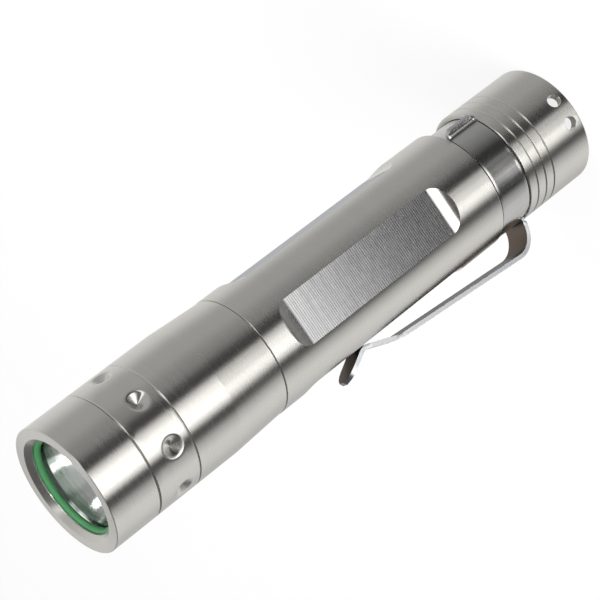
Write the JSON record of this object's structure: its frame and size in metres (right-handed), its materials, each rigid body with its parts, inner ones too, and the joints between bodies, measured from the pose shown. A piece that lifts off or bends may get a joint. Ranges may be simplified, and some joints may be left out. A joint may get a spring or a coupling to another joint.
{
  "type": "flashlight",
  "caption": "Round metal pocket flashlight with a screw-on bezel, milled body flats, a spring clip and a screw-on tail cap around a push button.",
  "frame": {"origin": "on the axis, in the plane of the tail rim that the light stands on", "axes": "+Z along the beam, from the tail to the bezel; one body flat faces -Y and the pocket clip lies on the -X side"},
  "size_m": [0.0296, 0.025, 0.1206],
  "materials": {
    "steel": "fine turned, satin",
    "spring_steel": "polished",
    "bronze": "plain",
    "aluminium": "turned",
    "mirror_coat": "mirror bright",
    "clear_glass": "clear, coated",
    "green_rubber": "satin",
    "black_rubber": "matte",
    "black_sleeve": "satin",
    "red_sleeve": "satin",
    "white_resin": "matte",
    "board_green": "satin",
    "phosphor": "gloss",
    "black_resin": "matte",
    "cell_wrap": "shrink wrap over a steel can"
  },
  "bodies": {
    "body": {"body_tube": "steel", "head_o_ring": "black_rubber", "tail_o_ring": "black_rubber"},
    "clip": {"pocket_clip": "spring_steel"},
    "cell": {"battery_cell": "cell_wrap", "battery_contact": "spring_steel"},
    "tail": {"tailcap": "steel", "switch_boot": "black_rubber", "boot_washer": "aluminium", "switch_housing": "black_resin", "switch_spring": "spring_steel", "switch_board": "board_green", "tail_spring": "bronze", "switch_ring": "bronze"},
    "button": {"switch_plunger": "white_resin"},
    "optics": {"lens": "clear_glass", "reflector": "mirror_coat"},
    "head": {"head_shell": "steel", "pill": "aluminium", "led_board": "white_resin", "led_emitter": "phosphor", "led_gasket": "white_resin", "led_wire_red": "red_sleeve", "led_wire_black": "black_sleeve", "driver_board": "board_green", "driver_ring": "bronze", "driver_spring": "bronze"},
    "bezel_seal": {"front_o_ring": "green_rubber"},
    "bezel": {"bezel": "steel"}
  },
  "joints": [
    {"name": "clip_swivel", "type": "hinge", "parent": "body", "child": "clip", "pos_m": [0, 0, 0.0205], "axis": [0, 0, 1], "range_deg": [-4, 4]},
    {"name": "tailcap_travel", "type": "slide", "parent": "body", "child": "cell", "axis": [0, 0, -1], "range_m": [0, 0.00263]},
    {"name": "tailcap_turn", "type": "hinge", "parent": "cell", "child": "tail", "pos_m": [0, 0, 0], "axis": [0, 0, -1], "range_deg": [0, 1260.5]},
    {"name": "button_press", "type": "slide", "parent": "tail", "child": "button", "axis": [0, 0, 1], "range_m": [0, 0.001], "stiffness_N_per_m": 1500, "springref_m": -0.0005, "deforming": ["switch_boot", "switch_spring"]},
    {"name": "head_travel", "type": "slide", "parent": "body", "child": "optics", "axis": [0, 0, 1], "range_m": [0, 0.00375]},
    {"name": "head_turn", "type": "hinge", "parent": "optics", "child": "head", "pos_m": [0, 0, 0.0806], "axis": [0, 0, 1], "range_deg": [0, 1800.5]},
    {"name": "bezel_travel", "type": "slide", "parent": "head", "child": "bezel_seal", "axis": [0, 0, 1], "range_m": [0, 0.00263]},
    {"name": "bezel_turn", "type": "hinge", "parent": "bezel_seal", "child": "bezel", "pos_m": [0, 0, 0.1109], "axis": [0, 0, 1], "range_deg": [0, 1260.5]}
  ],
  "couplings": [
    {"joint": "tailcap_turn", "follows": "tailcap_travel", "rad_per_m": 8377.6},
    {"joint": "head_turn", "follows": "head_travel", "rad_per_m": 8377.6},
    {"joint": "bezel_turn", "follows": "bezel_travel", "rad_per_m": 8377.6}
  ]
}
